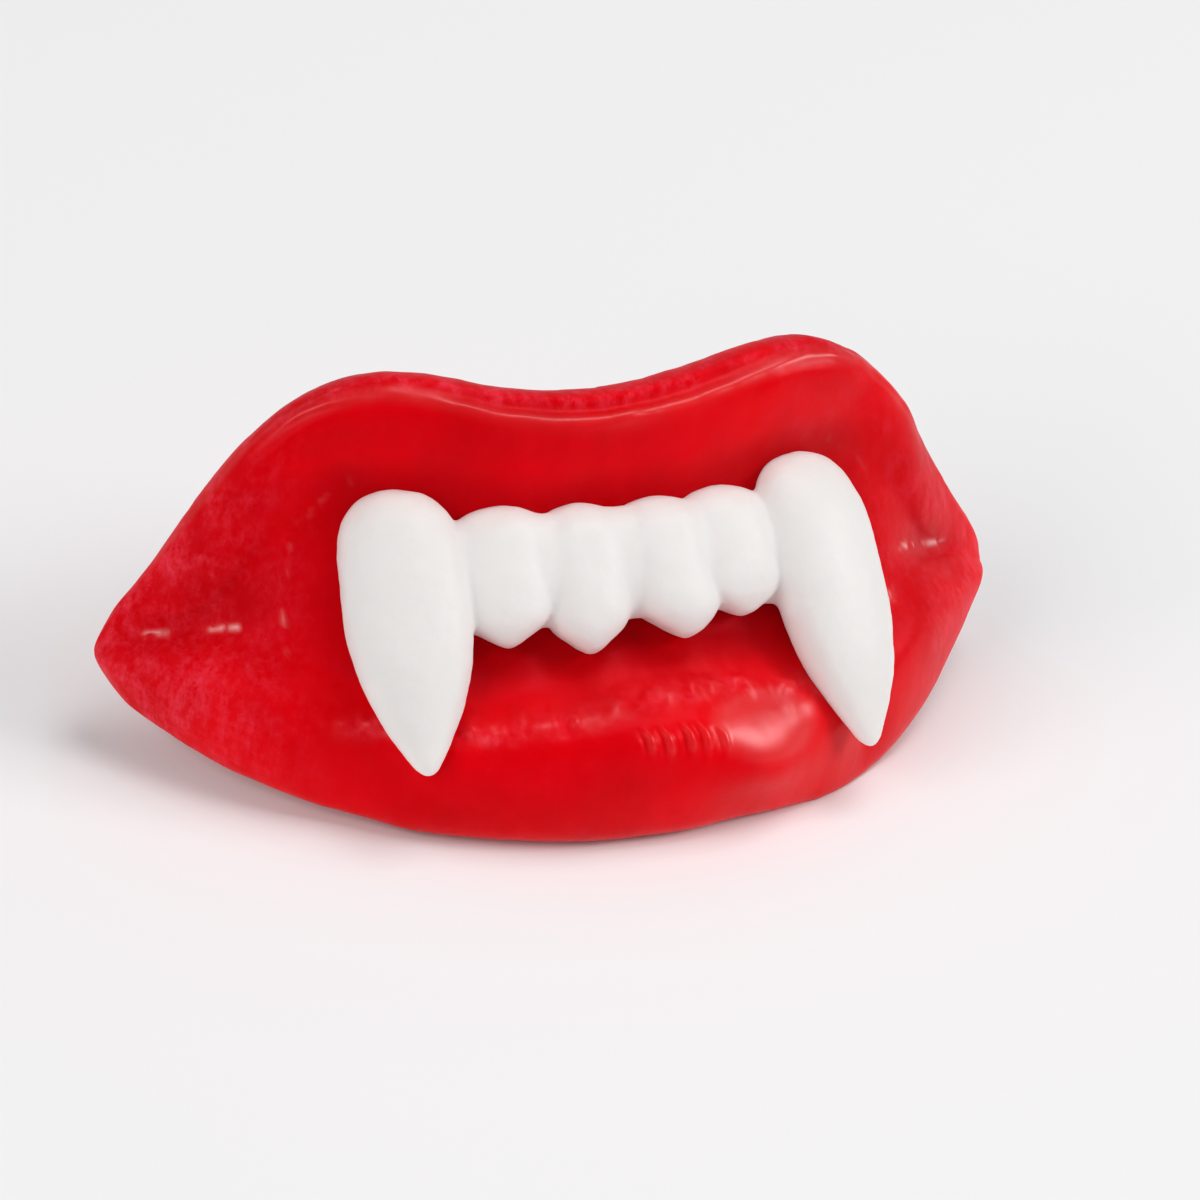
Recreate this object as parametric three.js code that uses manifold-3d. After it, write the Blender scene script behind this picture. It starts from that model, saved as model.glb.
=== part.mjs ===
// Novelty vampire fangs: a pair of wax lips, a strip of white wax teeth in their mouth, and the tab behind
// that the wearer bites on. Millimetres. The pieces are drawn as they are worn, in x (across), f (forward,
// out of the mouth) and z (up), with the rear edges of the mouth corners at f = 0 and z = 0. The finished
// group leans back until the lower lip and the tab stand on z = 0, with the lips facing -Y.
import * as THREE from "three";
import { mergeVertices } from "three/addons/utils/BufferGeometryUtils.js";
import Module from "manifold-3d";

const wasm = await Module();
wasm.setup();

// The lips
const LIP_WIDTH = 76; // corner to corner
const ARCH_DEPTH = 14.2; // how far the middle of the rear edge stands in front of the corners
const ARCH_POWER = 2.1; // 2 makes the arch a parabola, more makes it flatter in front
const UPPER_HEIGHT = 20.2; // level of the corners to the two peaks of the upper lip
const LOWER_HEIGHT = 18; // level of the corners to the lowest point of the lower lip
const RELIEF = 8.2; // arch of the rear edge to the fullest point of the lips
const WALL = 3.2; // wax thickness over the hollow back
const CORNER_LENGTH = 2.2; // rounded end at each corner, along the arch
const CORNER_SPREAD = 1; // how far a corner's thickness carries it outside the arch

// The teeth: width, height and depth of each, level of its top, how far its tip stands outwards and
// forwards of its top, and seat, the place of its top in front of the arch
const FANG = { width: 10.6, height: 22.7, depth: 7, top: 11, outwards: 0.6, forwards: 3.4, seat: 4.4 };
const FANG_EXTRA = 1.2; // how much longer the fang on the viewer's right is
const INNER_INCISOR = { width: 7.4, height: 11.6, depth: 6.4, top: 8.6, outwards: 0, forwards: 1, seat: 3.5 };
const OUTER_INCISOR = { width: 6.8, height: 10.7, depth: 6, top: 8.9, outwards: 0, forwards: 1, seat: 3.5 };
const TOOTH_MERGE = 0.8; // overlap of neighbouring teeth, which are cast as one strip
const SEAT_GAP = 0.3; // between the lips and what is seated on them

// The bite tab
const TAB_WIDTH = 20;
const TAB_THICKNESS = 6;
const TAB_LEVEL = -1; // height of its middle plane
const TAB_REAR = -6.4; // f of its rear end
const TAB_CORNER = 5; // radius of its rear corners
const TAB_BEVEL = 1; // rounding of its edges
const TAB_FLARE = 2.5; // widening of each side at the root

// Rows of numbers under named columns.
function table(columns, rows) {
  const names = columns.split(" ");
  return rows.map((row) => Object.fromEntries(names.map((name, i) => [name, row[i]])));
}

// Sections of half the lips, from the middle to a corner. along: share of the half width. top, gum (lower
// edge of the upper lip): shares of UPPER_HEIGHT. edge (upper edge of the lower lip), bottom: shares of
// LOWER_HEIGHT, downwards. rim (outline), ridge (just inside it), upper, inlet (floor of the mouth), lip
// (edge of the lower lip), lower: shares of RELIEF, forwards. hollow: share of the full hollow behind.
const SECTIONS = table("along top gum edge bottom rim ridge upper inlet lip lower hollow", [
  [0, 0.86, 0.45, 0.3, 1, 0.64, 0.75, 0.6, 0.34, 0.54, 1, 1],
  [0.18, 0.89, 0.46, 0.3, 0.98, 0.67, 0.78, 0.63, 0.36, 0.56, 0.98, 1],
  [0.42, 1, 0.56, 0.29, 0.89, 0.79, 0.87, 0.71, 0.44, 0.55, 0.8, 1],
  [0.56, 0.95, 0.58, 0.2, 0.785, 0.76, 0.85, 0.72, 0.5, 0.53, 0.68, 1],
  [0.68, 0.8, 0.4, 0.03, 0.675, 0.65, 0.75, 0.68, 0.48, 0.53, 0.68, 0.9],
  [0.78, 0.6, 0.17, -0.03, 0.56, 0.48, 0.56, 0.53, 0.41, 0.47, 0.62, 0.6],
  [0.88, 0.35, 0.12, -0.04, 0.39, 0.35, 0.42, 0.41, 0.34, 0.39, 0.52, 0.2],
  [1, 0.08, 0.04, 0, 0.15, 0.29, 0.35, 0.35, 0.31, 0.33, 0.37, 0],
]);
const SPAN_STEPS = [3, 5, 4, 4, 4, 4, 6]; // sections drawn between one row and the next
const UPPER_BACK = 0.86; // level of the upper lip's rear edge, from its gum line (0) to its outline (1)
const LOWER_BACK = 0.92; // level of the lower lip's rear edge, from its upper edge (0) down to its foot (1)
const LOWER_FULLEST = 0.42; // level of the lower lip's fullest point, likewise

// Outlines of the teeth from the gum (down 0) to the tip (down 1), as shares of half the width and depth.
const FANG_FORM = table("down across through", [
  [0, 0, 0],
  [0.03, 0.48, 0.42],
  [0.09, 0.78, 0.7],
  [0.2, 0.95, 0.92],
  [0.36, 1, 1],
  [0.52, 0.98, 0.98],
  [0.66, 0.86, 0.88],
  [0.79, 0.64, 0.7],
  [0.9, 0.36, 0.44],
  [0.97, 0.14, 0.2],
  [1, 0, 0],
]);
const INCISOR_FORM = table("down across through", [
  [0, 0, 0],
  [0.04, 0.52, 0.44],
  [0.1, 0.82, 0.7],
  [0.2, 0.97, 0.9],
  [0.42, 1, 1],
  [0.64, 1, 1],
  [0.78, 0.95, 0.92],
  [0.87, 0.76, 0.78],
  [0.94, 0.46, 0.52],
  [1, 0, 0],
]);
const TOOTH_SIDES = 14;

// The value of a section column at a share of the half width, along a smooth curve through the rows.
function sectionAt(share, column) {
  let i = 0;
  while (i < SECTIONS.length - 2 && SECTIONS[i + 1].along < share) i++;
  const [a, b, after] = [SECTIONS[i], SECTIONS[i + 1], SECTIONS[i + 2] ?? SECTIONS[i + 1]];
  const before = SECTIONS[i - 1] ?? { ...b, along: -b.along };
  const span = b.along - a.along;
  const leave = ((b[column] - before[column]) / (b.along - before.along)) * span;
  const arrive = ((after[column] - a[column]) / (after.along - a.along)) * span;
  const t = (share - a.along) / span;
  const rise = b[column] - a[column];
  return a[column] + t * (leave + t * (3 * rise - 2 * leave - arrive + t * (leave + arrive - 2 * rise)));
}

const ARCH_HALF = LIP_WIDTH / 2 - CORNER_SPREAD;

// The point that stands n in front of the arch, measured square to it at x.
function onArch(x, n, z) {
  const share = Math.abs(x) / ARCH_HALF;
  const f = ARCH_DEPTH * (1 - share ** ARCH_POWER);
  const fall = ((ARCH_DEPTH * ARCH_POWER) / ARCH_HALF) * share ** (ARCH_POWER - 1);
  const turn = Math.sign(x) * Math.atan(fall);
  return new THREE.Vector3(x + n * Math.sin(turn), -(f + n * Math.cos(turn)), z);
}

// A closed surface over rings of equal length, brought to a point at each end.
function loft(start, rings, end) {
  const count = rings[0].length;
  const points = [start, ...rings.flat(), end];
  const faces = [];
  for (let j = 0; j < count; j++) {
    const k = (j + 1) % count;
    faces.push(0, 1 + k, 1 + j);
    for (let ring = 0; ring < rings.length - 1; ring++) {
      const here = 1 + ring * count;
      const next = here + count;
      faces.push(here + j, here + k, next + k, here + j, next + k, next + j);
    }
    const tail = 1 + (rings.length - 1) * count;
    faces.push(tail + j, tail + k, points.length - 1);
  }
  const geometry = new THREE.BufferGeometry().setFromPoints(points);
  geometry.setIndex(faces);
  return geometry;
}

function solidOf(geometry) {
  const bare = geometry.clone();
  bare.deleteAttribute("normal");
  bare.deleteAttribute("uv");
  const merged = mergeVertices(bare, 1e-4);
  const vertProperties = new Float32Array(merged.getAttribute("position").array);
  const triVerts = new Uint32Array(merged.index.array);
  return new wasm.Manifold(new wasm.Mesh({ numProp: 3, vertProperties, triVerts }));
}

function geometryOf(solid) {
  const { vertProperties, triVerts } = solid.getMesh();
  const geometry = new THREE.BufferGeometry();
  geometry.setAttribute("position", new THREE.BufferAttribute(new Float32Array(vertProperties), 3));
  geometry.setIndex(new THREE.BufferAttribute(new Uint32Array(triVerts), 1));
  geometry.computeVertexNormals();
  return geometry;
}

// Steps drawn along each stretch between two points of a section, over the front and up the hollow.
const FRONT_STEPS = [1, 2, 1, 2, 3, 2, 1, 2, 3, 3, 2, 1];
const HOLLOW_STEPS = [1, 2, 2, 1, 1, 2, 2, 1];

function smooth(points, steps) {
  const curve = new THREE.SplineCurve(points.map(([n, z]) => new THREE.Vector2(n, z)));
  const places = steps.flatMap((count, i) => Array.from({ length: count }, (_, k) => i + k / count));
  return [...places, steps.length].map((place) => curve.getPoint(place / steps.length));
}

// One section of the lips as a ring of points (n, z): over the front from the upper rear edge to the lower
// one, then back up the hollow.
function lipSection(share) {
  const read = (column) => sectionAt(share, column);
  const [rim, ridge, upper, inlet, lip, lower] = ["rim", "ridge", "upper", "inlet", "lip", "lower"].map(
    (column) => read(column) * RELIEF,
  );
  const [top, gum] = [read("top") * UPPER_HEIGHT, read("gum") * UPPER_HEIGHT];
  const [edge, bottom] = [-read("edge") * LOWER_HEIGHT, -read("bottom") * LOWER_HEIGHT];
  // Levels in the upper lip, counted up, and in the mouth and the lower lip, counted down
  const up = (part) => gum + part * (top - gum);
  const mouth = (part) => gum + part * (edge - gum);
  const down = (part) => edge + part * (bottom - edge);
  const [upperBack, lowerBack, fullest] = [up(UPPER_BACK), down(LOWER_BACK), down(LOWER_FULLEST)];
  const front = smooth(
    [
      [0, upperBack],
      [0.55 * rim, up(1)],
      [rim, up(0.94)],
      [(rim + ridge) / 2, up(0.78)],
      [ridge, up(0.62)],
      [upper, up(0.3)],
      [0.4 * upper + 0.6 * inlet, up(0)],
      [inlet, mouth(0.2)],
      [inlet, mouth(0.75)],
      [lip, down(0)],
      [lower, fullest],
      [0.5 * lower, down(1)],
      [0, lowerBack],
    ],
    FRONT_STEPS,
  );
  const floor = Math.min(0, inlet - WALL);
  const inside = [
    [0, lowerBack + 0.7 * WALL],
    [0.8 * (lower - WALL), lowerBack + WALL],
    [lower - WALL, fullest],
    [floor, edge],
    [floor, mouth(0.5)],
    [floor, gum],
    [upper - WALL, up(0.35)],
    [0.8 * (ridge - WALL), upperBack - WALL],
    [0, upperBack - 0.7 * WALL],
  ];
  // Towards the corners the hollow runs out into a flat back
  const depth = read("hollow");
  const flat = (i) => lowerBack + ((i + 1) / (inside.length + 1)) * (upperBack - lowerBack);
  const hollow = smooth(
    inside.map(([n, z], i) => [depth * n, THREE.MathUtils.lerp(flat(i), z, depth)]),
    HOLLOW_STEPS,
  );
  return [...front, ...hollow];
}

function middleOf(points, sum) {
  return points.reduce((total, point) => total.add(point), sum).divideScalar(points.length);
}

// The same ring moved outwards by a distance, for the space that seated pieces leave free.
function grown(ring, distance) {
  return ring.map((point, i) => {
    const before = ring[(i + ring.length - 1) % ring.length];
    const after = ring[(i + 1) % ring.length];
    const tangent = after.clone().sub(before).normalize();
    return new THREE.Vector2(point.x - distance * tangent.y, point.y + distance * tangent.x);
  });
}

function lipGeometry(margin = 0) {
  const half = SPAN_STEPS.flatMap((count, i) => {
    const [a, b] = [SECTIONS[i].along, SECTIONS[i + 1].along];
    return Array.from({ length: count }, (_, k) => a + ((b - a) * k) / count);
  });
  const places = [...half.slice(1).map((share) => -share).reverse(), ...half];
  const roundFrom = 1 - CORNER_LENGTH / ARCH_HALF;
  const rings = places.map((place) => {
    const ring = grown(lipSection(Math.abs(place)), margin);
    const beyond = Math.max(0, (Math.abs(place) - roundFrom) / (1 - roundFrom));
    const size = Math.sqrt(1 - beyond * beyond);
    const centre = middleOf(ring, new THREE.Vector2());
    return ring.map((point) => {
      const { x: n, y: z } = point.sub(centre).multiplyScalar(size).add(centre);
      return onArch(place * ARCH_HALF, n, z);
    });
  });
  const centre = middleOf(lipSection(1), new THREE.Vector2());
  const tip = (side) => onArch(side * (ARCH_HALF + margin), centre.x, centre.y);
  return loft(tip(-1), rings, tip(1));
}

// The place further out along the arch, level with n in front of it, that lies a distance away.
function stepAlong(x, n, distance) {
  let [low, high] = [x, x + 2 * distance];
  for (let i = 0; i < 30; i++) {
    const middle = (low + high) / 2;
    if (onArch(middle, n, 0).distanceTo(onArch(x, n, 0)) < distance) low = middle;
    else high = middle;
  }
  return (low + high) / 2;
}

// One tooth, square to the arch at x, from its form table. side is -1 for the viewer's left.
function toothGeometry(form, size, x, side) {
  const foot = onArch(side * x, 0, 0);
  const out = onArch(side * x, 1, 0).sub(foot);
  const across = new THREE.Vector3(-out.y, out.x, 0);
  const point = (row, angle) => {
    const sideways = side * size.outwards * row.down + (size.width / 2) * row.across * Math.cos(angle);
    const forwards = size.seat + size.forwards * row.down + (size.depth / 2) * row.through * Math.sin(angle);
    const place = foot.clone().addScaledVector(across, sideways).addScaledVector(out, forwards);
    return place.setZ(size.top - size.height * row.down);
  };
  const rings = form.slice(1, -1).map((row) =>
    Array.from({ length: TOOTH_SIDES }, (_, i) => point(row, (2 * Math.PI * i) / TOOTH_SIDES)),
  );
  return loft(point(form[0], 0), rings, point(form.at(-1), 0));
}

// The strip of six teeth, cut away behind to leave SEAT_GAP to the lips.
function teethSolid(seat) {
  const spacing = (a, b) => (a.width + b.width) / 2 - TOOTH_MERGE;
  const innerX = (INNER_INCISOR.width - TOOTH_MERGE) / 2;
  const outerX = stepAlong(innerX, OUTER_INCISOR.seat, spacing(INNER_INCISOR, OUTER_INCISOR));
  const fangX = stepAlong(outerX, FANG.seat, spacing(OUTER_INCISOR, FANG));
  const longFang = { ...FANG, height: FANG.height + FANG_EXTRA };
  const teeth = [-1, 1].flatMap((side) => [
    toothGeometry(INCISOR_FORM, INNER_INCISOR, innerX, side),
    toothGeometry(INCISOR_FORM, OUTER_INCISOR, outerX, side),
    toothGeometry(FANG_FORM, side > 0 ? longFang : FANG, fangX, side),
  ]);
  return teeth.map(solidOf).reduce((strip, tooth) => strip.add(tooth)).subtract(seat);
}

// The tab: a flat tongue with rounded rear corners, widened at the root, which follows the lips' back.
function tabSolid(seat) {
  const half = TAB_WIDTH / 2 - TAB_BEVEL;
  const rear = -TAB_REAR - TAB_BEVEL;
  const root = -(ARCH_DEPTH + (SECTIONS[0].inlet * RELIEF) / 3);
  const flareFrom = root / 2;
  const outline = new THREE.Shape();
  outline.moveTo(-half - TAB_FLARE, root);
  outline.lineTo(half + TAB_FLARE, root);
  outline.quadraticCurveTo(half, (root + flareFrom) / 2, half, flareFrom);
  outline.lineTo(half, rear - TAB_CORNER);
  outline.absarc(half - TAB_CORNER, rear - TAB_CORNER, TAB_CORNER, 0, Math.PI / 2);
  outline.absarc(TAB_CORNER - half, rear - TAB_CORNER, TAB_CORNER, Math.PI / 2, Math.PI);
  outline.lineTo(-half, flareFrom);
  outline.quadraticCurveTo(-half, (root + flareFrom) / 2, -half - TAB_FLARE, root);
  const slab = new THREE.ExtrudeGeometry(outline, {
    depth: TAB_THICKNESS - 2 * TAB_BEVEL,
    bevelThickness: TAB_BEVEL,
    bevelSize: TAB_BEVEL,
    bevelSegments: 3,
    curveSegments: 6,
  });
  slab.translate(0, 0, TAB_LEVEL - TAB_THICKNESS / 2 + TAB_BEVEL);
  return solidOf(slab).subtract(seat);
}

const lips = lipGeometry();
const seat = solidOf(lipGeometry(SEAT_GAP));
const teeth = geometryOf(teethSolid(seat));
const tab = geometryOf(tabSolid(seat));

function named(name, geometry, color, roughness) {
  const mesh = new THREE.Mesh(geometry, new THREE.MeshStandardMaterial({ color, roughness, metalness: 0 }));
  mesh.name = name;
  return mesh;
}

// How far down a piece reaches when it leans back by an angle.
function reachDown(geometry, lean) {
  const leant = geometry.clone().applyMatrix4(new THREE.Matrix4().makeRotationX(-lean));
  leant.computeBoundingBox();
  return leant.boundingBox.min.z;
}

// The angle to lean back by until the lips and the tab reach down equally far.
function restingLean() {
  let [low, high] = [0, Math.PI / 3];
  for (let i = 0; i < 30; i++) {
    const middle = (low + high) / 2;
    if (reachDown(lips, middle) < reachDown(tab, middle)) low = middle;
    else high = middle;
  }
  return (low + high) / 2;
}

const worn = new THREE.Group();
worn.add(named("lips_shell", lips, 0xd0101c, 0.42));
worn.add(named("teeth_row", teeth, 0xece7e2, 0.4));
worn.add(named("bite_tab", tab, 0xc8101c, 0.5));
worn.rotation.x = -restingLean();

const part = new THREE.Group();
part.add(worn);
const box = new THREE.Box3().setFromObject(part, true);
const foot = box.getCenter(new THREE.Vector3()).setZ(box.min.z);
worn.position.copy(foot.negate());

export default part;
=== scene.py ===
import math

import bpy
import numpy as np
from mathutils import Matrix, Vector, noise


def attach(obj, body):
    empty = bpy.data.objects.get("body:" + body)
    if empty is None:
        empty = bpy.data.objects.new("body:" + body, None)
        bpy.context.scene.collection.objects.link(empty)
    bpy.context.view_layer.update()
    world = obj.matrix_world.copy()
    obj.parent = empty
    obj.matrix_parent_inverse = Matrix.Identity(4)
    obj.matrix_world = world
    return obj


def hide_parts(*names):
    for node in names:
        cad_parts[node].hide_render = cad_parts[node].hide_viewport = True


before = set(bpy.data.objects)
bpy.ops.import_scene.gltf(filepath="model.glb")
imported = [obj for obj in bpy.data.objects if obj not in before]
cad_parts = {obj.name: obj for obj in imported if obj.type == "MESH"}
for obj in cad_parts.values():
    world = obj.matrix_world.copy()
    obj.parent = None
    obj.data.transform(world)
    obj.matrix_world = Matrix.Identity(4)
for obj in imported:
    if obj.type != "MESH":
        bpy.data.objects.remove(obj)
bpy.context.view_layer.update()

# Lengths are in millimetres until they become vertices. The pieces are drawn as they are worn, in x (across),
# f (forward) and z (up), and then leant back onto the floor as the CAD part is.
MM = 0.001
LEAN = math.radians(33.1459)
BACKWARDS = 9.7217  # where the worn frame's origin lies, behind the middle of the part
RISE = 6.4629  # and above the floor

# ---------------------------------------------------------------- the lips
LIP_WIDTH = 76.0
ARCH_DEPTH = 14.2
ARCH_POWER = 2.1
UPPER_HEIGHT = 20.2
LOWER_HEIGHT = 18.0
RELIEF = 8.2
WALL = 3.2
CORNER_LENGTH = 2.2
CORNER_SPREAD = 1.0
ARCH_HALF = LIP_WIDTH / 2 - CORNER_SPREAD


def table(columns, rows):
    rows = np.array(rows, float)
    return {name: rows[:, i] for i, name in enumerate(columns.split())}


# The same sections as the CAD lips, from the middle to a corner
SECTIONS = table("along top gum edge bottom rim ridge upper inlet lip lower hollow", [
    (0, 0.86, 0.45, 0.3, 1, 0.64, 0.75, 0.6, 0.34, 0.54, 1, 1),
    (0.18, 0.89, 0.46, 0.3, 0.98, 0.67, 0.78, 0.63, 0.36, 0.56, 0.98, 1),
    (0.42, 1, 0.56, 0.29, 0.89, 0.79, 0.87, 0.71, 0.44, 0.55, 0.8, 1),
    (0.56, 0.95, 0.58, 0.2, 0.785, 0.76, 0.85, 0.72, 0.5, 0.53, 0.68, 1),
    (0.68, 0.8, 0.4, 0.03, 0.675, 0.65, 0.75, 0.68, 0.48, 0.53, 0.68, 0.9),
    (0.78, 0.6, 0.17, -0.03, 0.56, 0.48, 0.56, 0.53, 0.41, 0.47, 0.62, 0.6),
    (0.88, 0.35, 0.12, -0.04, 0.39, 0.35, 0.42, 0.41, 0.34, 0.39, 0.52, 0.2),
    (1, 0.08, 0.04, 0, 0.15, 0.29, 0.35, 0.35, 0.31, 0.33, 0.37, 0),
])
UPPER_BACK = 0.86
LOWER_BACK = 0.92
LOWER_FULLEST = 0.42


def read_sections(share):
    """Every column at each share of the half width, along a smooth curve through the rows."""
    along = SECTIONS["along"]
    last = len(along) - 1
    i = np.clip(np.searchsorted(along, share, side="left") - 1, 0, last - 1)
    after = np.minimum(i + 2, last)
    before = np.abs(i - 1)
    before_along = np.where(i == 0, -along[1], along[before])
    span = along[i + 1] - along[i]
    t = (share - along[i]) / span
    found = {}
    for name, value in SECTIONS.items():
        a, b = value[i], value[i + 1]
        behind = np.where(i == 0, value[1], value[before])
        leave = (b - behind) / (along[i + 1] - before_along) * span
        arrive = (value[after] - a) / (along[after] - along[i]) * span
        rise = b - a
        found[name] = a + t * (leave + t * (3 * rise - 2 * leave - arrive + t * (leave + arrive - 2 * rise)))
    return found


def spline(points, places):
    """Catmull-Rom through points (sections, points, 2) at places counted in points."""
    count = points.shape[1]
    i = np.clip(np.floor(places).astype(int), 0, count - 2)
    t = (places - i)[None, :, None]
    p0 = points[:, np.maximum(i - 1, 0)]
    p1 = points[:, i]
    p2 = points[:, i + 1]
    p3 = points[:, np.minimum(i + 2, count - 1)]
    v0, v1 = (p2 - p0) / 2, (p3 - p1) / 2
    return (2 * p1 - 2 * p2 + v0 + v1) * t**3 + (3 * p2 - 3 * p1 - 2 * v0 - v1) * t**2 + v0 * t + p1


# How the right side of the photographed lips differs from the left: shares of the half width, millimetres upwards
RIGHT_TOP = ((0, 0), (0.22, 0.6), (0.34, 0.2), (0.5, -0.1), (0.66, -0.6), (0.8, -0.4), (0.9, 0.1), (1, 1.0))
RIGHT_BOTTOM = ((0.2, 0), (0.36, -0.5), (0.5, -1.5), (0.62, -1.4), (0.75, -0.4), (0.88, 0.5), (1, 1.1))
SOFTENED_OVER = 0.07  # shares to each side that such a difference is evened out over
CORNER_FILL = 0.4  # how much the mouth is filled at the corners, so that the outline has no notch there

# Points between two neighbouring corners of a section, on the front and in the hollow
FRONT_STEPS = (7, 9, 8, 10, 12, 12, 8, 10, 10, 24, 18, 8)
HOLLOW_STEPS = (4, 5, 5, 4, 4, 5, 5, 4)


def soft_table(share, rows):
    """The table's values at each share, evened out between its rows."""
    steps = np.linspace(-SOFTENED_OVER, SOFTENED_OVER, 9)
    return sum(np.interp(share + step, *zip(*rows)) for step in steps) / len(steps)


def places_of(steps):
    """Places along a section, counted in its corners."""
    return np.array([i + k / count for i, count in enumerate(steps) for k in range(count)] + [len(steps)])


def lip_rings(signed):
    """Sections as rings of points (n, z), with each point's place on the front, or below zero in the hollow."""
    share = np.abs(signed)
    row = read_sections(share)
    rim, ridge, upper, inlet, lip, lower = (
        row[name] * RELIEF for name in ("rim", "ridge", "upper", "inlet", "lip", "lower")
    )
    filled = CORNER_FILL * smoothstep(0.84, 0.93, share)
    inlet, lip = inlet + filled, lip + 0.5 * filled
    top, gum = row["top"] * UPPER_HEIGHT, row["gum"] * UPPER_HEIGHT
    edge, bottom = -row["edge"] * LOWER_HEIGHT, -row["bottom"] * LOWER_HEIGHT
    top = top + (signed > 0) * soft_table(share, RIGHT_TOP)
    bottom = bottom + (signed > 0) * soft_table(share, RIGHT_BOTTOM)

    def up(part):
        return gum + part * (top - gum)

    def mouth(part):
        return gum + part * (edge - gum)

    def down(part):
        return edge + part * (bottom - edge)

    zero = np.zeros_like(share)
    upper_back, lower_back, fullest = up(UPPER_BACK), down(LOWER_BACK), down(LOWER_FULLEST)
    front = np.array([
        (zero, upper_back),
        (0.55 * rim, up(1)),
        (rim, up(0.94)),
        ((rim + ridge) / 2, up(0.78)),
        (ridge, up(0.62)),
        (upper, up(0.3)),
        (0.4 * upper + 0.6 * inlet, up(0)),
        (inlet, mouth(0.2)),
        (inlet, mouth(0.75)),
        (lip, down(0)),
        (lower, fullest),
        (0.5 * lower, down(1)),
        (zero, lower_back),
    ]).transpose(2, 0, 1)
    floor = np.minimum(0, inlet - WALL)
    inside = np.array([
        (zero, lower_back + 0.7 * WALL),
        (0.8 * (lower - WALL), lower_back + WALL),
        (lower - WALL, fullest),
        (floor, edge),
        (floor, mouth(0.5)),
        (floor, gum),
        (upper - WALL, up(0.35)),
        (0.8 * (ridge - WALL), upper_back - WALL),
        (zero, upper_back - 0.7 * WALL),
    ]).transpose(2, 0, 1)
    depth = row["hollow"][:, None]
    flat = lower_back[:, None] + (np.arange(9) + 1) / 10 * (upper_back - lower_back)[:, None]
    inside[..., 0] *= depth
    inside[..., 1] = flat + (inside[..., 1] - flat) * depth
    front_places, hollow_places = places_of(FRONT_STEPS), places_of(HOLLOW_STEPS)
    rings = np.concatenate([spline(front, front_places), spline(inside, hollow_places)], 1)
    return rings, np.concatenate([front_places, -1 - hollow_places])


def arch_frame(x):
    """Foot (x, f) of the arch at x, and the unit vector square to it, out of the mouth."""
    share = np.abs(x) / ARCH_HALF
    fall = ARCH_DEPTH * ARCH_POWER / ARCH_HALF * share ** (ARCH_POWER - 1)
    turn = np.sign(x) * np.arctan(fall)
    return ARCH_DEPTH * (1 - share**ARCH_POWER), np.sin(turn), np.cos(turn)


def smoothstep(low, high, value):
    t = np.clip((value - low) / (high - low), 0, 1)
    return t * t * (3 - 2 * t)


def bump(distance, width):
    return np.exp(-((distance / width) ** 2))


def wander(points, size, seed, octaves=3):
    """Smooth seeded unevenness, about -1 to 1, that changes over lengths of size."""
    offset = Vector((17.3 * seed, -9.1 * seed, 4.7 * seed))
    flat = points.reshape(-1, 3) / size
    values = [noise.fractal(Vector(p) + offset, 1.0, 2.0, octaves) for p in flat]
    return np.array(values).reshape(points.shape[:-1])


# Marks on the front of the lips, in millimetres of arch x and z, and in places along a section
LOWER_LIP_FROM = 8.4  # the place where the lower lip begins
CREST_PLACE = ((0, 3.55), (0.2, 3.4), (0.42, 2.95), (0.6, 2.9), (1, 3.0))  # of the line round the upper lip, by share
CREST_HEIGHT = 0.3
CREST_WIDTH = 0.42
CREST_GLOSS = 1.1
GROOVE_DEPTH = 0.3
GROOVE_WIDTH = 0.32
GROOVE_APART = 0.75  # places from the crest to the groove outside it
MOUTH_EDGE = (  # z, |x|
    (-1.0, 23.7), (1.6, 23.9), (4.2, 23.8), (6.9, 23.3), (9.3, 22.0), (10.7, 20.7), (11.6, 18.8),
)
MOUTH_EDGE_HEIGHT = 0.12
MOUTH_EDGE_WIDTH = 0.3
CLOSED_LEVEL = {-1: 1.0, 1: 2.2}  # z of the closed mouth beside the left corner and the right one
CLOSED_DEPTH = {-1: 0.6, 1: 0.4}
CLOSED_WIDTH = 1.5
GLINTS = ((-32.6, 0.9), (-28.1, 1.2), (28.4, 3.3))  # x of the raised bits of it, which also carry painted highlights, and how far they reach
GLINT_HEIGHT = 0.16
GLINT_WIDTH = 0.24
GLINT_RISE = 0.12  # above the closed mouth
FANG_TIPS = {-1: (17.2, -11.4), 1: (20.0, -12.8)}  # x outwards, z
DENT_DEPTH = 0.4
DENT_WIDTH = 2.0
LOWER_EDGE = (  # x, z
    (-18, -7.0), (-13.8, -7.8), (-10.6, -8.8), (-5, -8.2), (0.5, -7.0), (7.9, -6.6), (11.4, -7.6), (18, -7.4),
)
ROUGH_HEIGHT = 0.2
PATCH = (9.4, -10.2)  # x, z
PATCH_SIZE = (4.6, 2.7)
PATCH_BULGE = 1.05
PATCH_DIP = 0.25
PATCH_GLOSS = 1.35
NICKS = (  # x, z at the top, z at the bottom
    (-0.8, -9.6, -11.6), (0.6, -9.6, -12.0), (2.2, -9.5, -11.8), (3.4, -9.5, -12.0), (4.8, -10.1, -11.8),
)
NICK_HEIGHT = 0.26
NICK_DEPTH = 0.28
NICK_GLOSS = 0.8
NICK_LEAN = 0.6  # how far a nick leans to the right, and bows
NICK_BOW = 0.45
UNEVEN_HEIGHT = 0.09
ROUGHNESS_HEIGHT = 0.05
COAT = 0.75  # weight of the polish where the gloss is 1


def by_side(x, values):
    return np.where(x < 0, values[-1], values[1])


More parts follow.
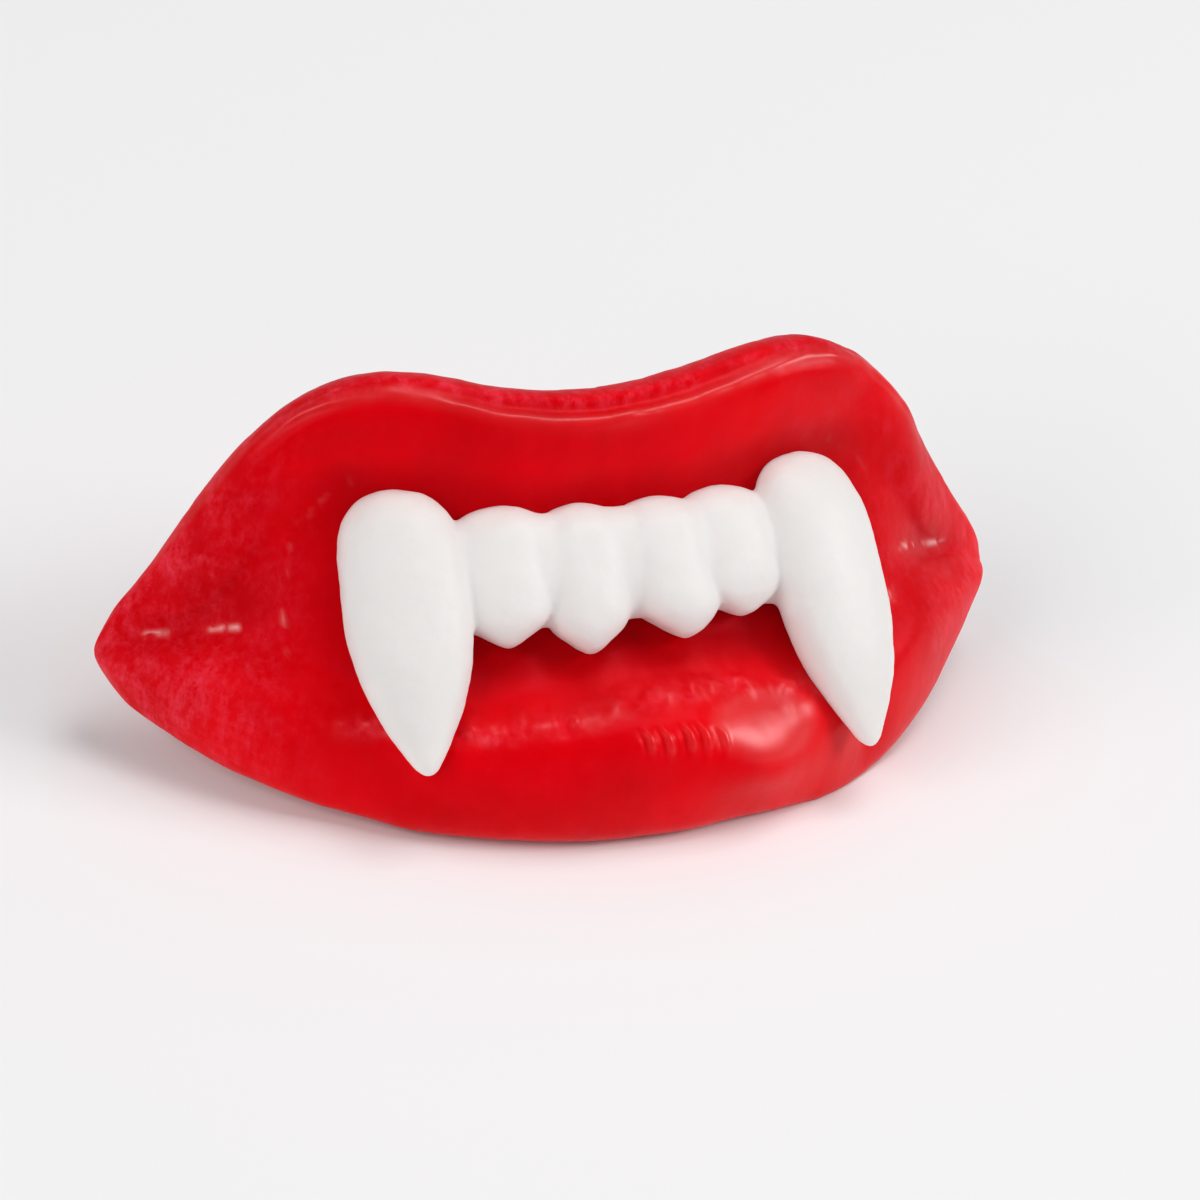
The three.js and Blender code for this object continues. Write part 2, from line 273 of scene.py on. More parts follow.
def lip_marks(x, z, place, share, points):
    """How far each point of the lips stands out from the plain section, square to it, and how polished it is."""
    front = place >= 0
    lower = place > LOWER_LIP_FROM
    out = np.zeros_like(x)
    gloss = np.zeros_like(x)
    mid_noise = wander(points, 5.0, 1)
    fine_noise = wander(points, 1.3, 2)
    # the line round the upper lip and the groove between it and the outline
    crest = np.interp(share, *zip(*CREST_PLACE))
    fade = 1 - smoothstep(0.8, 0.97, share)
    ridge = fade * bump(place - crest, CREST_WIDTH) * front
    out += CREST_HEIGHT * (1 + 0.5 * mid_noise) * ridge
    gloss += CREST_GLOSS * ridge * (1 - smoothstep(0.5, 0.7, share))
    out -= fade * GROOVE_DEPTH * bump(place - crest + GROOVE_APART, GROOVE_WIDTH) * front
    # the edge of the mouth beside the fangs, a broken line
    inside = np.interp(z, *zip(*MOUTH_EDGE)) - np.abs(x)
    dashes = np.clip(3.2 * fine_noise - 0.3, 0, 1.5) * bump(inside, MOUTH_EDGE_WIDTH) * front
    line = smoothstep(-3.5, -0.5, z) * (1 - smoothstep(11.0, 12.5, z)) * dashes
    out += MOUTH_EDGE_HEIGHT * line
    gloss += line
    # the closed mouth beside the corners
    near = smoothstep(0.62, 0.78, share) * (1 - smoothstep(0.79, 0.89, share)) * front
    out -= near * by_side(x, CLOSED_DEPTH) * bump(z - by_side(x, CLOSED_LEVEL), CLOSED_WIDTH)
    # the dents that the fangs' tips lie in
    for side, tip in FANG_TIPS.items():
        apart = np.hypot(x - side * tip[0], (z - tip[1]) * 0.7)
        out -= DENT_DEPTH * bump(apart, DENT_WIDTH) * lower * (1 - smoothstep(10.4, 11.2, place))
    # the rough upper edge of the lower lip
    level = np.interp(x, *zip(*LOWER_EDGE)) + 0.35 * mid_noise
    near = (1 - smoothstep(0.5, 0.62, share)) * lower
    out += near * ROUGH_HEIGHT * bump(z - level, 0.6) * (0.8 + 0.8 * fine_noise)
    out += near * ROUGH_HEIGHT * fine_noise * bump(z - level, 1.2)
    gloss += 0.6 * near * bump(z - level + 0.3, 0.9) * np.clip(0.6 + 1.4 * fine_noise, 0, 1)
    # a flatter, polished patch at the right of it, which faces upwards
    right, above = x - PATCH[0], z - PATCH[1]
    out += PATCH_BULGE * bump(right, 4.6) * bump(above + 3.2, 2.1) * lower
    out -= PATCH_DIP * bump(right, 4.0) * bump(above - 0.5, 1.5) * lower
    apart = np.hypot(right / PATCH_SIZE[0], above / PATCH_SIZE[1])
    gloss += PATCH_GLOSS * (1 - smoothstep(0.75, 1.15, apart)) * lower
    # five short bowed nicks at the left of the patch, each a ridge beside a furrow
    for start, top, bottom in NICKS:
        t = (z - top) / (bottom - top)
        right = x - start - NICK_LEAN * t - NICK_BOW * (1 - (2 * t - 1) ** 2)
        near = smoothstep(-0.05, 0.25, t) * (1 - smoothstep(0.75, 1.05, t)) * lower
        out += near * (NICK_HEIGHT * bump(right - 0.25, 0.22) - NICK_DEPTH * bump(right + 0.18, 0.2))
        gloss += NICK_GLOSS * near * bump(right - 0.25, 0.3)
    # uneven wax: smoother in the middle of the front, rougher towards the outline, the corners and behind
    rough = 0.25 + 0.75 * np.maximum(smoothstep(0.6, 0.9, share), bump(place - 1.5, 1.6))
    rough = np.where(front, rough, 1.0)
    out += UNEVEN_HEIGHT * mid_noise + ROUGHNESS_HEIGHT * rough * fine_noise
    return out, np.clip(COAT * gloss, 0, 1)


def glints(x, z, points):
    """Short raised bits along the closed mouth, 0 to 1, which also get painted highlights."""
    level = by_side(x, CLOSED_LEVEL) + GLINT_RISE
    broken = np.clip(0.5 + 1.8 * wander(points, 1.1, 7), 0, 1) * bump(z - level, GLINT_WIDTH)
    return sum(1 - smoothstep(0.7, 1.1, np.abs(x - place) / reach) for place, reach in GLINTS) * broken


ROUND_FROM = 1 - CORNER_LENGTH / ARCH_HALF  # the share where a corner begins to round off
NICKED_TO = 0.19  # the share up to which the rings lie close enough for the nicks
SMOOTHING_STEPS = 16


def signed_grid():
    """Shares of the half width from -1 to 1, closer together where the nicks and the round corners are."""
    nicked = np.linspace(0, NICKED_TO, 46)
    rest = np.linspace(NICKED_TO, ROUND_FROM, 150)[1:]
    corner = ROUND_FROM + (1 - ROUND_FROM) * np.sin(np.linspace(0, math.pi / 2, 14))[1:-1]
    half = np.concatenate([nicked, rest, corner])
    return np.concatenate([-half[:0:-1], half])


def lips_mesh(signed):
    """Points of the lips as rings, the two end points, and each ring point's place, gloss and painted glint
    highlight.
    """
    share = np.abs(signed)
    rings, place = lip_rings(signed)
    x = signed * ARCH_HALF
    forward, side, ahead = arch_frame(x)
    after, before = np.roll(rings, -1, 1), np.roll(rings, 1, 1)
    tangent = after - before
    tangent /= np.linalg.norm(tangent, axis=2, keepdims=True)
    normal = np.stack([-tangent[..., 1], tangent[..., 0]], 2)
    grid_x = np.repeat(x[:, None], rings.shape[1], 1)
    grid_place = np.repeat(place[None], len(x), 0)
    grid_share = np.repeat(share[:, None], rings.shape[1], 1)
    worn = np.stack([grid_x, rings[..., 0], rings[..., 1]], 2)
    marks, gloss = lip_marks(grid_x, rings[..., 1], grid_place, grid_share, worn)
    size = np.sqrt(1 - np.clip((share - ROUND_FROM) / (1 - ROUND_FROM), 0, 1) ** 2)[:, None, None]
    rings = rings + normal * marks[..., None] * size
    softer = smoothstep(0.6, 0.76, share)[:, None, None]
    for step in range(SMOOTHING_STEPS):
        weight = np.maximum(softer, float(step < 2))
        rings = rings + weight * ((np.roll(rings, 1, 1) + np.roll(rings, -1, 1)) / 4 - rings / 2)
    # the raised bits along the closed mouth; the colour also paints them pale as glint highlights
    painted_glint = glints(grid_x, rings[..., 1], worn) * (grid_place > 0)
    rings = rings + normal * GLINT_HEIGHT * painted_glint[..., None]
    centre = rings.mean(1, keepdims=True)
    rings = centre + (rings - centre) * size
    n, z = rings[..., 0], rings[..., 1]
    points = np.stack([x[:, None] + n * side[:, None], forward[:, None] + n * ahead[:, None], z], 2)
    ends = []
    for sign, row in ((-1, 0), (1, -1)):
        f, s, a = arch_frame(np.array(sign * ARCH_HALF))
        c = centre[row, 0]
        ends.append((sign * ARCH_HALF + c[0] * s, f + c[0] * a, c[1]))
    return points, np.array(ends), place, np.maximum(gloss, painted_glint), painted_glint


def grid_faces(rows, count, first=0):
    """Faces of a tube of rings of count points, and of its two ends, the points before and after the rings."""
    ring = first + 1 + np.arange(rows * count).reshape(rows, count)
    here, there = ring[:-1], ring[1:]
    quads = np.stack([here, np.roll(here, -1, 1), np.roll(there, -1, 1), there], 2).reshape(-1, 4)
    k = np.arange(count)
    start = np.stack([np.full(count, first), ring[0, (k + 1) % count], ring[0, k]], 1)
    end = np.stack([ring[-1, k], ring[-1, (k + 1) % count], np.full(count, first + rows * count + 1)], 1)
    return quads.tolist() + start.tolist() + end.tolist()


def from_worn(points):
    """Points (x, f, z) in millimetres, as worn, to the row frame in metres."""
    x, f, z = points[..., 0], points[..., 1], points[..., 2]
    y = -f * math.cos(LEAN) + z * math.sin(LEAN) + BACKWARDS
    up = f * math.sin(LEAN) + z * math.cos(LEAN) + RISE
    return np.stack([x, y, up], -1) * MM


def to_worn(points):
    """Points in the row frame in metres to (x, f, z) in millimetres, as worn."""
    x, y, up = points[:, 0] / MM, points[:, 1] / MM - BACKWARDS, points[:, 2] / MM - RISE
    f = up * math.sin(LEAN) - y * math.cos(LEAN)
    z = y * math.sin(LEAN) + up * math.cos(LEAN)
    return np.stack([x, f, z], 1)


def new_object(name, points, faces):
    mesh = bpy.data.meshes.new(name)
    mesh.from_pydata([tuple(p) for p in points], [], faces)
    mesh.validate()
    mesh.update()
    piece = bpy.data.objects.new(name, mesh)
    bpy.context.scene.collection.objects.link(piece)
    mesh.shade_smooth()
    return piece


def vertex_values(piece, name):
    values = np.empty(len(piece.data.vertices) * 3)
    piece.data.vertices.foreach_get(name, values)
    return values.reshape(-1, 3)


def push_out(piece, millimetres):
    """Moves each vertex along its normal."""
    points = vertex_values(piece, "co") + vertex_values(piece, "normal") * (millimetres * MM)[:, None]
    piece.data.vertices.foreach_set("co", points.reshape(-1))
    piece.data.update()


def remesh_and_smooth(piece, voxel, iterations):
    """Joins the piece into one even skin of cells of voxel millimetres, and smooths it."""
    remesh = piece.modifiers.new("fused", "REMESH")
    remesh.mode = "VOXEL"
    remesh.voxel_size = voxel * MM
    soften = piece.modifiers.new("softened", "SMOOTH")
    soften.factor = 0.5
    soften.iterations = iterations
    bpy.context.view_layer.update()
    evaluated = piece.evaluated_get(bpy.context.evaluated_depsgraph_get())
    mesh = bpy.data.meshes.new_from_object(evaluated)
    piece.modifiers.clear()
    old = piece.data
    piece.data = mesh
    bpy.data.meshes.remove(old)
    mesh.shade_smooth()


def store(piece, name, values):
    attribute = piece.data.attributes.new(name, "FLOAT", "POINT")
    attribute.data.foreach_set("value", np.clip(values, 0, 1).astype(np.float32))


LOWEST = 0.02  # the lower lip is flat where it rests, this far above the floor

lip_signed = signed_grid()
lip_points, lip_ends, lip_place, lip_gloss, lip_painted_glint = lips_mesh(lip_signed)
rows, count = lip_points.shape[:2]
worn_points = np.concatenate([lip_ends[:1], lip_points.reshape(-1, 3), lip_ends[1:]])
leant_points = from_worn(worn_points)
leant_points[:, 2] = np.maximum(leant_points[:, 2], LOWEST * MM)
lips = new_object("wax_lips", leant_points, grid_faces(rows, count))

# ---------------------------------------------------------------- the teeth
# seat is the distance from the arch; a tip lies outwards and forwards of its root
FANG = {"width": 10.6, "height": 22.7, "depth": 7.0, "top": 11.0, "outwards": 0.6, "forwards": 3.4, "seat": 4.4}
INNER = {"width": 7.4, "height": 11.6, "depth": 6.4, "top": 8.6, "outwards": 0.0, "forwards": 1.0, "seat": 3.5}
OUTER = {"width": 6.8, "height": 10.7, "depth": 6.0, "top": 8.9, "outwards": 0.0, "forwards": 1.0, "seat": 3.5}
FANG_EXTRA = 1.2  # how much longer the right fang is
LONG_FANG = {**FANG, "height": FANG["height"] + FANG_EXTRA}
WEB = {"seat": 4.2, "depth": 4.6, "top": 8.0, "bottom": -1.0}  # the bar of wax behind the teeth
TOOTH_MERGE = 0.8
TOOTH_SIDES = 48
TOOTH_ROWS = 70
TOOTH_VOXEL = 0.22
TOOTH_SMOOTHING = 22

FANG_FORM = table("down across through", [
    (0, 0, 0),
    (0.02, 0.42, 0.36),
    (0.06, 0.7, 0.6),
    (0.12, 0.88, 0.8),
    (0.22, 0.98, 0.94),
    (0.38, 1, 1),
    (0.52, 0.98, 0.98),
    (0.66, 0.87, 0.88),
    (0.78, 0.68, 0.7),
    (0.88, 0.45, 0.48),
    (0.95, 0.25, 0.3),
    (0.985, 0.13, 0.16),
    (1, 0, 0),
])
INCISOR_FORM = table("down across through", [
    (0, 0, 0),
    (0.03, 0.5, 0.4),
    (0.08, 0.8, 0.64),
    (0.16, 0.96, 0.85),
    (0.28, 1, 0.95),
    (0.45, 1, 1),
    (0.64, 1, 1),
    (0.76, 0.96, 0.93),
    (0.84, 0.78, 0.82),
    (0.92, 0.44, 0.62),
    (0.97, 0.2, 0.38),
    (1, 0, 0),
])


def step_along(x, n, distance):
    """The arch x that lies distance further along the arch than x, both at n from it."""
    low, high = x, x + 2 * distance

    def at(place):
        f, s, a = arch_frame(np.array(place))
        return np.array([place + n * s, f + n * a])

    for _ in range(30):
        middle = (low + high) / 2
        if np.linalg.norm(at(middle) - at(x)) < distance:
            low = middle
        else:
            high = middle
    return (low + high) / 2


def tooth_points(form, size, x, side, move, lean, point, longer, square):
    """One tooth square to the arch at side * x, as rings, with its top and its tip.

    move shifts all of it, lean shifts it evenly more towards its tip and point shifts the tip alone, each to the
    viewer's right. square is 1 for an oval section, less for a boxy one.
    """
    rows = np.stack([form["down"], form["across"], form["through"]], 1)[None]
    down, across, through = spline(rows, np.linspace(0, rows.shape[1] - 1, TOOTH_ROWS))[0].T
    angle = np.linspace(0, 2 * math.pi, TOOTH_SIDES, endpoint=False)
    round_x = np.sign(np.cos(angle)) * np.abs(np.cos(angle)) ** square
    round_y = np.sign(np.sin(angle)) * np.abs(np.sin(angle)) ** square
    f, s, a = arch_frame(np.array(side * x))
    shift = move + (side * size["outwards"] + lean) * down + point * smoothstep(0.5, 1.0, down)
    sideways = shift[:, None] + size["width"] / 2 * across[:, None] * round_x
    forwards = size["seat"] + size["forwards"] * down[:, None]
    forwards = forwards + size["depth"] / 2 * through[:, None] * round_y
    points = np.stack([
        side * x + sideways * a + forwards * s,
        f - sideways * s + forwards * a,
        np.repeat((size["top"] - (size["height"] + longer) * down)[:, None], TOOTH_SIDES, 1),
    ], 2)
    return points[1:-1], points[0, 0], points[-1, 0]


def web_points(reach):
    """The bar of wax that joins the teeth behind their faces, as rings along the arch."""
    places = reach * np.sin(np.linspace(-math.pi / 2, math.pi / 2, 90))
    size = np.sqrt(1 - (places / reach) ** 16)[1:-1, None]
    places = places[1:-1]
    angle = np.linspace(0, 2 * math.pi, TOOTH_SIDES, endpoint=False)
    n = WEB["seat"] + WEB["depth"] / 2 * size * np.cos(angle)
    z = (WEB["top"] + WEB["bottom"]) / 2 - (WEB["top"] - WEB["bottom"]) / 2 * size * np.sin(angle)
    f, s, a = arch_frame(places)
    rings = np.stack([places[:, None] + n * s[:, None], f[:, None] + n * a[:, None], z], 2)
    return rings, rings[0].mean(0), rings[-1].mean(0)


def spacing(a, b):
    return (a["width"] + b["width"]) / 2 - TOOTH_MERGE


inner_x = (INNER["width"] - TOOTH_MERGE) / 2
outer_x = step_along(inner_x, OUTER["seat"], spacing(INNER, OUTER))
fang_x = step_along(outer_x, FANG["seat"], spacing(OUTER, FANG))


def wider(size, by):
    return {**size, "width": size["width"] + by}


TEETH = (  # form, size, x, side, move, lean, point, longer, square
    (FANG_FORM, wider(FANG, -0.5), fang_x, -1, 0.3, 1.5, 0.0, 0.0, 0.92),
    (INCISOR_FORM, wider(OUTER, 0.9), outer_x, -1, 0.65, 0.1, -0.2, 0.7, 0.8),
    (INCISOR_FORM, wider(INNER, -0.7), inner_x, -1, 0.75, 0.3, -0.3, 0.6, 0.8),
    (INCISOR_FORM, wider(INNER, -0.3), inner_x, 1, 0.3, 0.5, 1.0, 0.1, 0.8),
    (INCISOR_FORM, wider(OUTER, 0.6), outer_x, 1, -0.1, 0.5, 0.2, 0.0, 0.8),
    (FANG_FORM, wider(LONG_FANG, -0.6), fang_x, 1, -0.65, 1.8, 0.0, 0.3, 0.92),
)
tubes = [tooth_points(*tooth) for tooth in TEETH] + [web_points(fang_x)]
all_points, all_faces = [], []
for rings, start, end in tubes:
    first = sum(len(p) for p in all_points)
    all_points.append(np.concatenate([start[None], rings.reshape(-1, 3), end[None]]))
    all_faces += grid_faces(rings.shape[0], rings.shape[1], first)
teeth = new_object("wax_teeth", from_worn(np.concatenate(all_points)), all_faces)
remesh_and_smooth(teeth, TOOTH_VOXEL, TOOTH_SMOOTHING)
worn = to_worn(vertex_values(teeth, "co"))
push_out(teeth, 0.10 * wander(worn, 4.0, 3) + 0.03 * wander(worn, 1.2, 4))

# ---------------------------------------------------------------- the bite tab
TAB_VOXEL = 0.3
TAB_SMOOTHING = 8
TAB_SHRINK = 0.1  # keeps the uneven faces inside the plain ones

tab = bpy.data.objects.new("wax_tab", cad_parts["bite_tab"].data.copy())
bpy.context.scene.collection.objects.link(tab)
remesh_and_smooth(tab, TAB_VOXEL, TAB_SMOOTHING)
worn = to_worn(vertex_values(tab, "co"))
push_out(tab, 0.12 * wander(worn, 5.0, 5) + 0.05 * wander(worn, 1.4, 6) - TAB_SHRINK)

# ---------------------------------------------------------------- materials
def material(name):
    made = bpy.data.materials.new(name)
    made.use_nodes = True
    tree = made.node_tree
    shader = tree.nodes["Principled BSDF"]
    return made, tree, shader


def add(tree, kind, **inputs):
    node = tree.nodes.new(kind)
    for key, value in inputs.items():
        node.inputs[key.replace("_", " ")].default_value = value
    return node


def texture(tree, coordinates, scale, detail, roughness=0.55, distortion=0.0):
    node = add(tree, "ShaderNodeTexNoise", Scale=scale, Detail=detail, Roughness=roughness, Distortion=distortion)
    tree.links.new(coordinates, node.inputs["Vector"])
    return node.outputs["Fac"]


def attribute(tree, name):
    node = tree.nodes.new("ShaderNodeAttribute")
    node.attribute_name = name
    return node.outputs["Fac"]


def ramp(tree, value, *stops):
    """Greys at two places of value, each stop as (place, grey)."""
    node = tree.nodes.new("ShaderNodeValToRGB")
    for element, (place, grey) in zip(node.color_ramp.elements, stops):
        element.position = place
        element.color = (grey, grey, grey, 1)
    tree.links.new(value, node.inputs["Fac"])
    return node.outputs["Color"]


def feed(tree, socket, value):
    """Sets the socket to a number or colour, or links it."""
    if isinstance(value, (int, float, tuple)):
        socket.default_value = value
    else:
        tree.links.new(value, socket)


def mix(tree, factor, a, b):
    node = tree.nodes.new("ShaderNodeMix")
    node.data_type = "RGBA"
    for number, value in ((0, factor), (6, a), (7, b)):
        feed(tree, node.inputs[number], value)
    return node.outputs[2]


def math_node(tree, operation, a, b):
    node = tree.nodes.new("ShaderNodeMath")
    node.operation = operation
    node.use_clamp = True
    feed(tree, node.inputs[0], a)
    feed(tree, node.inputs[1], b)
    return node.outputs[0]


def bump_chain(tree, shader, *layers):
    """Bumps of (height socket, strength, distance in mm), each on top of the last."""
    normal = None
    for height, strength, distance in layers:
        node = add(tree, "ShaderNodeBump", Strength=strength, Distance=distance * MM)
        tree.links.new(height, node.inputs["Height"])
        if normal is not None:
            tree.links.new(normal, node.inputs["Normal"])
        normal = node.outputs["Normal"]
    tree.links.new(normal, shader.inputs["Normal"])


PAINTED_GLINT_COLOUR = (0.9, 0.42, 0.4, 1)  # painted highlight: the pale colour of the small glints where the surface catches the light
COAT_ROUGHNESS = 0.33
WAX_IOR = 1.44


def wax(name, deep, fresh, bloom, film_strength, gloss, specular, subsurface):
    """Cast wax: two tones that drift into each other, and a pale bloom that also takes the gloss off.

    gloss is the roughness without and with the bloom, specular the level and the tint, and subsurface the weight,
    the radii and the depth in millimetres. The vertex values say where the wax is blooming or polished, and where
    shade and glint highlights are painted into its colour.
    """
    made, tree, shader = material(name)
    where = tree.nodes.new("ShaderNodeTexCoord").outputs["Object"]
    drift = texture(tree, where, 90, 3)
    cloud = texture(tree, where, 380, 4, 0.6, 0.4)
    grain = texture(tree, where, 1500, 5, 0.65)
    brushed = tree.nodes.new("ShaderNodeMapping")
    brushed.inputs["Rotation"].default_value = (0.3, 0.35, 0)
    brushed.inputs["Scale"].default_value = (1, 1, 0.22)
    tree.links.new(where, brushed.inputs["Vector"])
    streak = texture(tree, brushed.outputs["Vector"], 1300, 3, 0.6)

    # colour: the two tones drift at random, pulled towards the deep one where shade is painted in; the bloom film;
    # and the painted glint highlights
    shade = math_node(tree, "MULTIPLY", ramp(tree, drift, (0.3, 0.6), (0.7, 1.0)), attribute(tree, "shade"))
    tone = mix(tree, shade, deep, fresh)
    dry = attribute(tree, "bloom")
    patches = ramp(tree, cloud, (0.36, 0.1), (0.64, 1.0))
    specks = ramp(tree, grain, (0.42, 0.0), (0.66, 1.0))
    lines = ramp(tree, streak, (0.42, 0.0), (0.62, 1.0))
    film = math_node(tree, "ADD", math_node(tree, "MULTIPLY", specks, 0.6), math_node(tree, "MULTIPLY", lines, 0.5))
    film = math_node(tree, "MULTIPLY", patches, film)
    film = math_node(tree, "MULTIPLY", film, dry)
    film = math_node(tree, "MULTIPLY", film, film_strength)
    filmed = mix(tree, film, tone, bloom)
    # painted highlight: the glints along the closed mouth are mixed towards a pale colour
    tree.links.new(mix(tree, attribute(tree, "painted_glint"), filmed, PAINTED_GLINT_COLOUR), shader.inputs["Base Color"])

    # surface
    glossy, dull = gloss
    dulled = math_node(tree, "MULTIPLY", dry, dull - glossy)
    matte = math_node(tree, "ADD", dulled, math_node(tree, "MULTIPLY", specks, 0.08))
    tree.links.new(math_node(tree, "ADD", matte, glossy), shader.inputs["Roughness"])
    tree.links.new(attribute(tree, "gloss"), shader.inputs["Coat Weight"])
    level, tint = specular
    weight, radius, depth = subsurface
    for socket, value in (
        ("Coat Roughness", COAT_ROUGHNESS),
        ("IOR", WAX_IOR),
        ("Specular IOR Level", level),
        ("Specular Tint", tint),
        ("Subsurface Weight", weight),
        ("Subsurface Radius", radius),
        ("Subsurface Scale", depth * MM),
    ):
        shader.inputs[socket].default_value = value
    bump_chain(tree, shader, (cloud, 0.3, 0.10), (grain, 0.35, 0.05))
    return made


lip_wax = wax(
    "red_wax",
    deep=(0.3, 0.0, 0.001, 1),
    fresh=(0.8, 0.0003, 0.004, 1),
    bloom=(0.86, 0.055, 0.1, 1),
    film_strength=0.85,
    gloss=(0.27, 0.5),
    specular=(0.28, (1, 0.06, 0.12, 1)),
    subsurface=(0.4, (1.0, 0.06, 0.04), 1.0),
)
tab_wax = wax(
    "matte_red_wax",
    deep=(0.3, 0.0, 0.002, 1),
    fresh=(0.72, 0.002, 0.007, 1),
    bloom=(0.8, 0.07, 0.13, 1),
    film_strength=0.75,
    gloss=(0.4, 0.6),
    specular=(0.5, (1, 0.2, 0.25, 1)),
    subsurface=(0.45, (1.0, 0.08, 0.05), 1.3),
)
tooth_wax = wax(
    "white_wax",
    deep=(0.73, 0.705, 0.69, 1),
    fresh=(0.82, 0.80, 0.785, 1),
    bloom=(0.84, 0.83, 0.82, 1),
    film_strength=0.4,
    gloss=(0.36, 0.5),
    specular=(0.3, (1, 1, 1, 1)),
    subsurface=(0.6, (1.0, 0.8, 0.7), 1.6),
)

# Where each point of the lips lies; the two end points count as places on the outline
LEAST_BLOOM = 0.04
TEETH_BLOOM = 0.5
TAB_BLOOM = 0.7
PAINTED_GLINT_STRENGTH = 0.7  # how pale the painted glint highlights are

signed = np.concatenate([[-1], np.repeat(lip_signed, count), [1]])
share = np.abs(signed)
place = np.concatenate([[0], np.tile(lip_place, rows), [0]])
x = signed * ARCH_HALF
z = worn_points[:, 2]

# painted shade, darker: in the mouth, in the closed mouth beside the corners and on the cheek of the left corner,
# where shade falls
in_mouth = smoothstep(5.0, 6.2, place) * (1 - smoothstep(8.6, 9.3, place)) * (1 - smoothstep(0.5, 0.64, share))
in_groove = smoothstep(0.66, 0.8, share) * (1 - smoothstep(0.86, 0.97, share))
in_groove *= bump(z - by_side(x, CLOSED_LEVEL), 2.2)
in_cheek = bump(z - 2.8, 3.6) * smoothstep(0.6, 0.72, -signed) * (1 - smoothstep(0.78, 0.9, -signed))
shade = 1 - 0.45 * in_mouth - 0.3 * np.maximum(in_groove, 1.3 * in_cheek) * (place > 0)

# paler and duller: the hollow, the corners, the outline, the rough edge and the right side of the upper lip
rough_edge = bump(z - np.interp(x, *zip(*LOWER_EDGE)) + 0.5, 0.9) * (1 - smoothstep(0.5, 0.62, share))
right_side = smoothstep(0.3, 0.5, signed) * (1 - smoothstep(5.0, 6.5, place))
bloom = np.maximum.reduce([
    smoothstep(0.54, 0.92, share),
    0.85 * (1 - smoothstep(2.0, 3.4, place)),
    0.6 * smoothstep(10.6, 11.6, place),
    0.5 * rough_edge * (place > LOWER_LIP_FROM),
    0.25 * right_side,
])
bloom = np.where(place < 0, 0.8, bloom)
# less bloom where shade is painted in the closed mouth and on the left cheek, which darkens them further
bloom *= 1 - 0.6 * np.maximum(in_groove, in_cheek) * (place > 0)

store(lips, "bloom", LEAST_BLOOM + (1 - LEAST_BLOOM) * bloom)
store(lips, "shade", shade)
store(lips, "gloss", np.concatenate([[0], lip_gloss.reshape(-1), [0]]))
store(lips, "painted_glint", PAINTED_GLINT_STRENGTH * np.concatenate([[0], lip_painted_glint.reshape(-1), [0]]))
for piece, bloom in ((teeth, TEETH_BLOOM), (tab, TAB_BLOOM)):
    for name, value in (("bloom", bloom), ("shade", 1.0), ("gloss", 0.0), ("painted_glint", 0.0)):
        store(piece, name, np.full(len(piece.data.vertices), value))

for piece, made, node, slot in (
    (lips, lip_wax, "lips_shell", "lip_wax"),
    (teeth, tooth_wax, "teeth_row", "tooth_wax"),
    (tab, tab_wax, "bite_tab", "tab_wax"),
):
    piece.data.materials.clear()
    piece.data.materials.append(made)
    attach(piece, "root")
    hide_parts(node)

# ---------------------------------------------------------------- floor, camera, light
FLOOR_HALF = 1.5  # metres
floor_corners = [(-FLOOR_HALF, -FLOOR_HALF, 0), (FLOOR_HALF, -FLOOR_HALF, 0), (FLOOR_HALF, FLOOR_HALF, 0),
                 (-FLOOR_HALF, FLOOR_HALF, 0)]
floor = new_object("floor", floor_corners, [(0, 1, 2, 3)])
pale_floor, _, shader = material("pale_floor")
shader.inputs["Base Color"].default_value = (0.93, 0.93, 0.94, 1)
shader.inputs["Roughness"].default_value = 0.75
floor.data.materials.append(pale_floor)

# The camera's direction in the worn frame, leant back with the part
AZIMUTH = math.radians(-20.52)
ELEVATION = math.radians(1.92)
ROLL = math.radians(-5.03)
DISTANCE = 0.6
SENSOR = 36  # millimetres
FOCAL_PIXELS = 3765  # of the whole photograph's 1200
FRAME_PIXELS = 1200
CLOSER = 2.0  # how much larger the part is drawn than in the photograph
AIM = (0.72, 12.27, 0.52)  # the worn point in the middle of the frame


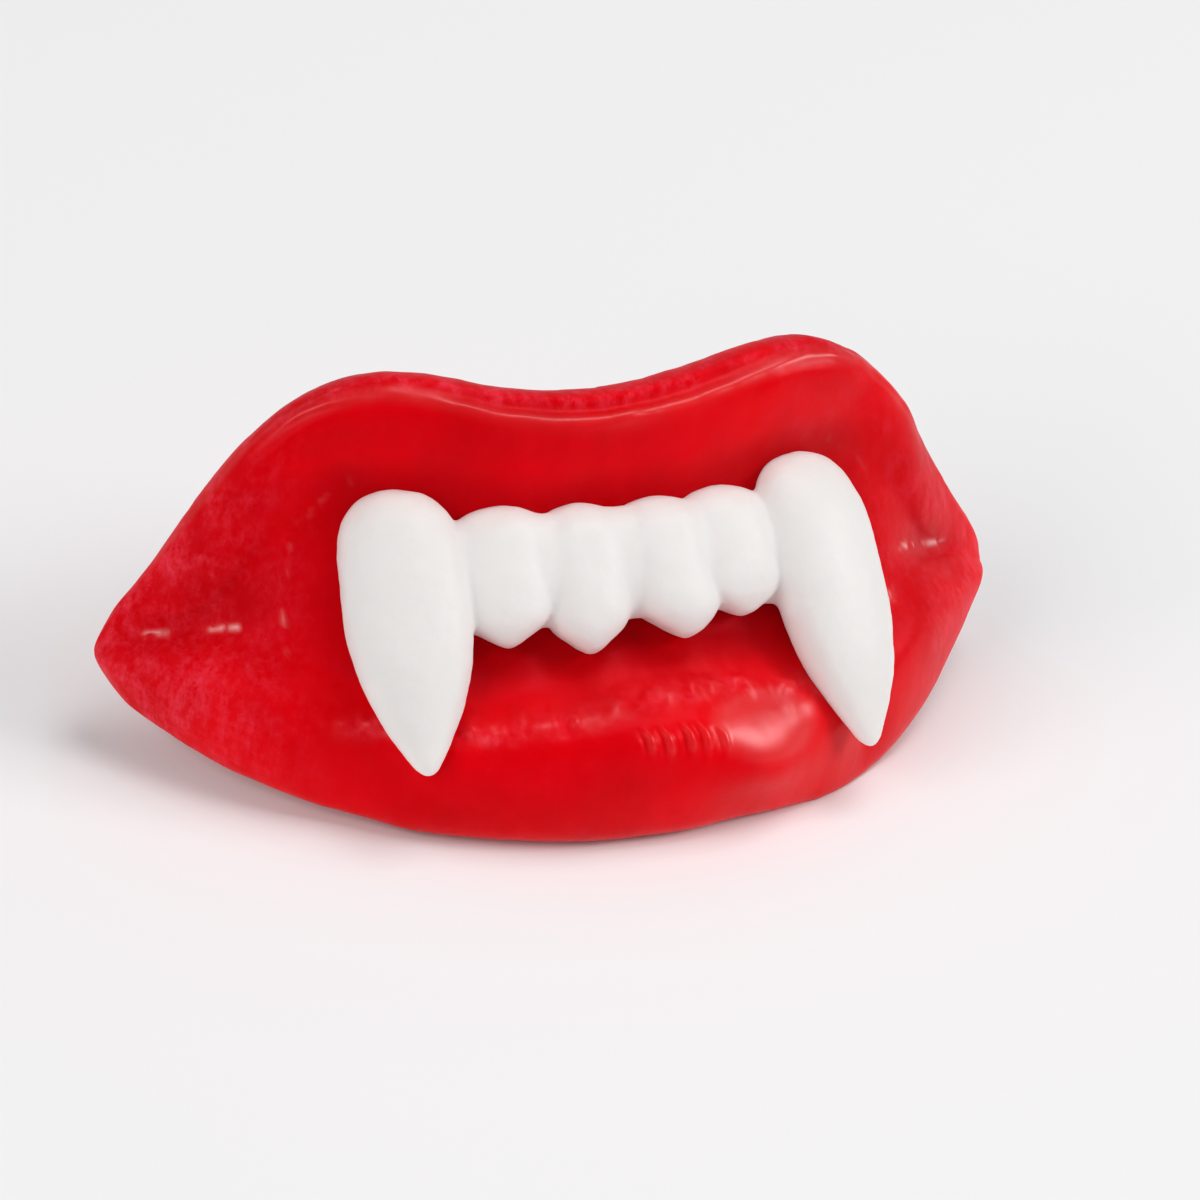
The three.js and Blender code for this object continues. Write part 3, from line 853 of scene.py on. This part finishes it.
def leant(v):
    return Vector((
        v.x,
        v.y * math.cos(LEAN) + v.z * math.sin(LEAN),
        v.z * math.cos(LEAN) - v.y * math.sin(LEAN),
    ))


level = math.cos(ELEVATION)
back = Vector((math.sin(AZIMUTH) * level, -math.cos(AZIMUTH) * level, math.sin(ELEVATION)))
right = Vector((0, 0, 1)).cross(back).normalized()
up = back.cross(right)
rolled_right = right * math.cos(ROLL) + up * math.sin(ROLL)
rolled_up = up * math.cos(ROLL) - right * math.sin(ROLL)
camera_data = bpy.data.cameras.new("camera")
camera_data.sensor_width = SENSOR
camera_data.lens = FOCAL_PIXELS / FRAME_PIXELS * SENSOR * CLOSER
camera_data.clip_start = 0.01
camera_data.dof.use_dof = False
camera = bpy.data.objects.new("camera", camera_data)
bpy.context.scene.collection.objects.link(camera)
axes = [leant(rolled_right), leant(rolled_up), leant(back)]
pose = np.eye(4)
for i, axis in enumerate(axes):
    pose[:3, i] = axis
pose[:3, 3] = Vector(from_worn(np.array(AIM))) + axes[2] * DISTANCE
camera.matrix_world = Matrix(pose.tolist())
bpy.context.scene.camera = camera

LIT_POINT = Vector((0, 0, 0.015))
LIGHTS = (  # name, place and size in metres, watts
    ("key", (1.24, -0.64, 0.84), 0.52, 10.0),
    ("top", (0.45, 0.0, 1.55), 0.8, 8.0),
    ("fill", (-1.3, -0.6, 0.9), 1.1, 12.0),
)
SURROUNDINGS = 0.3

for name, position, size, watts in LIGHTS:
    light = bpy.data.lights.new(name, "AREA")
    light.size = size
    light.energy = watts
    lamp = bpy.data.objects.new(name, light)
    bpy.context.scene.collection.objects.link(lamp)
    lamp.location = position
    lamp.rotation_euler = (Vector(position) - LIT_POINT).to_track_quat("Z", "Y").to_euler()

world = bpy.data.worlds.new("studio")
world.use_nodes = True
world.node_tree.nodes["Background"].inputs["Color"].default_value = (1, 1, 1, 1)
world.node_tree.nodes["Background"].inputs["Strength"].default_value = SURROUNDINGS
bpy.context.scene.world = world
bpy.context.scene.view_settings.view_transform = "Standard"
